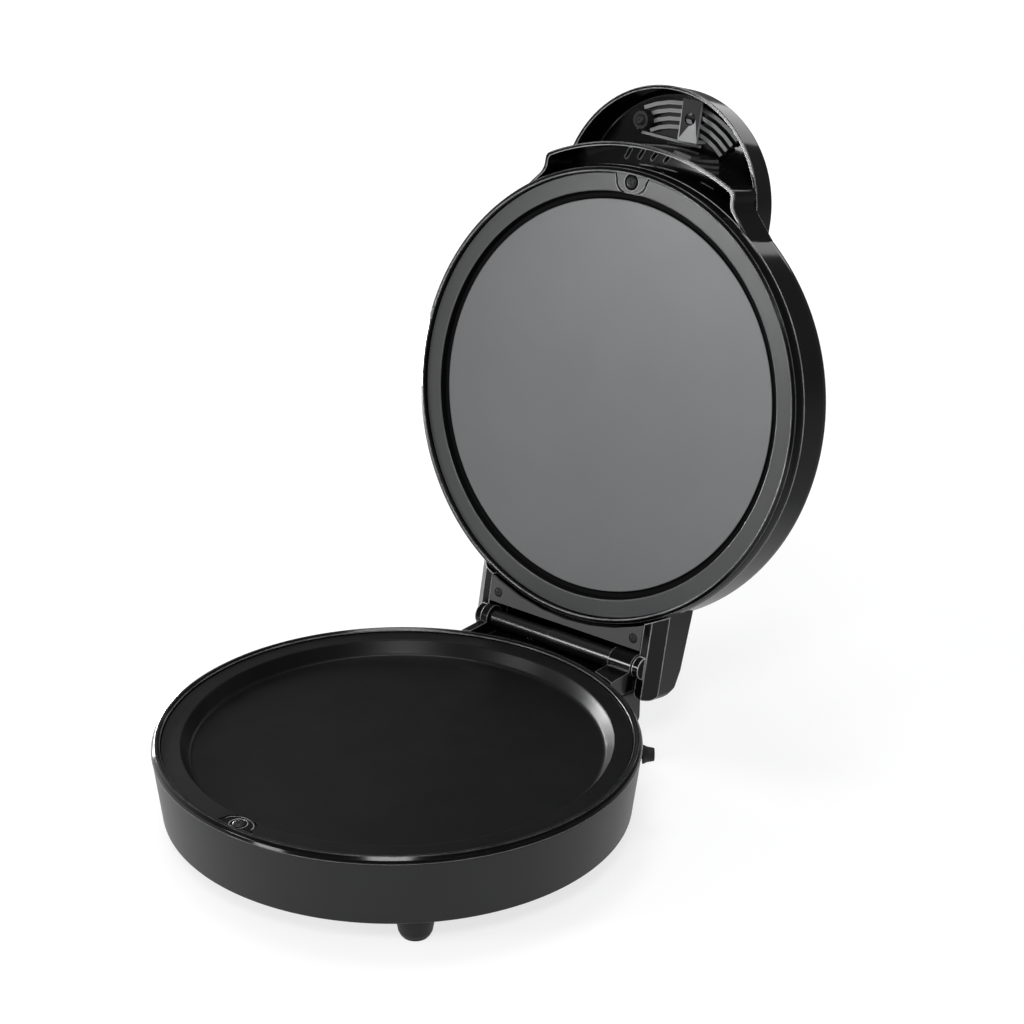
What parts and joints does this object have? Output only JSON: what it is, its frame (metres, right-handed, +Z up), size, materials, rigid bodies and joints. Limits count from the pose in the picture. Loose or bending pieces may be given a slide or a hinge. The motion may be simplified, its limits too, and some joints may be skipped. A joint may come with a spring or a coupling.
{
  "type": "round electric mini oven",
  "caption": "Round clamshell mini oven with a shallow heated pan in the base and a heated plate in a hinged lid with a half-round handle.",
  "frame": {"origin": "bottom centre of the box around the open appliance, on the table", "axes": "+Z up, +Y from the front towards the hinge, +X to the user's right"},
  "size_m": [0.3398, 0.503, 0.4686],
  "materials": {
    "base_wall": "satin dark grey",
    "gloss_rim": "high gloss black",
    "lid_gloss": "high gloss black",
    "non_stick": "fine-grained grey non-stick coating on a cast plate",
    "black_non_stick": "smooth black non-stick coating on a cast pan",
    "hinge_gloss": "gloss black",
    "skirt_satin": "satin dark grey",
    "screw_black": "blackened",
    "screw_steel": "dark zinc-plated",
    "element_steel": "heat-darkened tube",
    "shield_steel": "bright galvanised sheet",
    "pin_steel": "dark zinc-plated bar",
    "ceramic": "unglazed ceramic",
    "matte_black": "fine-grained matte black",
    "pad_rubber": "dull black",
    "handle_inside": "moulded mid grey",
    "red_lens": "tinted lens, unlit",
    "green_lens": "tinted lens, unlit"
  },
  "bodies": {
    "base": {"base_housing": "base_wall", "base_rim": "gloss_rim", "lower_plate": "black_non_stick", "lower_plate_screw": "screw_black", "lower_shield_screw_1": "screw_steel", "lower_shield_screw_2": "screw_steel", "lower_shield_screw_3": "screw_steel", "bottom_screw_1": "screw_steel", "bottom_screw_2": "screw_steel", "bottom_screw_3": "screw_steel", "bottom_screw_4": "screw_steel", "lower_heating_element": "element_steel", "lower_heat_shield": "shield_steel", "thermal_fuse": "shield_steel", "hinge_pin": "pin_steel", "lower_thermostat": "ceramic", "terminal_block": "ceramic", "bottom_cover": "matte_black", "foot_front_left": "matte_black", "foot_front_right": "matte_black", "foot_rear_left": "matte_black", "foot_rear_right": "matte_black", "cord_gland": "matte_black", "hinge_saddle": "hinge_gloss", "hinge_sleeve_right": "hinge_gloss", "foot_pad_front_left": "pad_rubber", "foot_pad_front_right": "pad_rubber", "foot_pad_rear_left": "pad_rubber", "foot_pad_rear_right": "pad_rubber"},
    "lid": {"lid_shell": "lid_gloss", "lid_rim": "gloss_rim", "upper_plate": "non_stick", "upper_plate_screw": "screw_black", "upper_heating_element": "element_steel", "upper_heat_shield": "shield_steel", "upper_shield_screw_1": "screw_steel", "upper_shield_screw_2": "screw_steel", "upper_shield_screw_3": "screw_steel", "upper_thermostat": "ceramic", "hinge_skirt": "skirt_satin", "hinge_skirt_screw_left": "screw_black", "hinge_skirt_screw_right": "screw_black", "hinge_sleeve_left": "hinge_gloss", "handle_rib_insert": "handle_inside", "handle_bracket": "handle_inside", "handle_boss": "handle_inside", "handle_boss_screw": "screw_black", "power_lamp": "red_lens", "ready_lamp": "green_lens"}
  },
  "joints": [
    {"name": "lid_hinge", "type": "hinge", "parent": "base", "child": "lid", "pos_m": [0, 0.1049, 0.071], "axis": [1, 0, 0], "range_deg": [0, 101.6]}
  ]
}
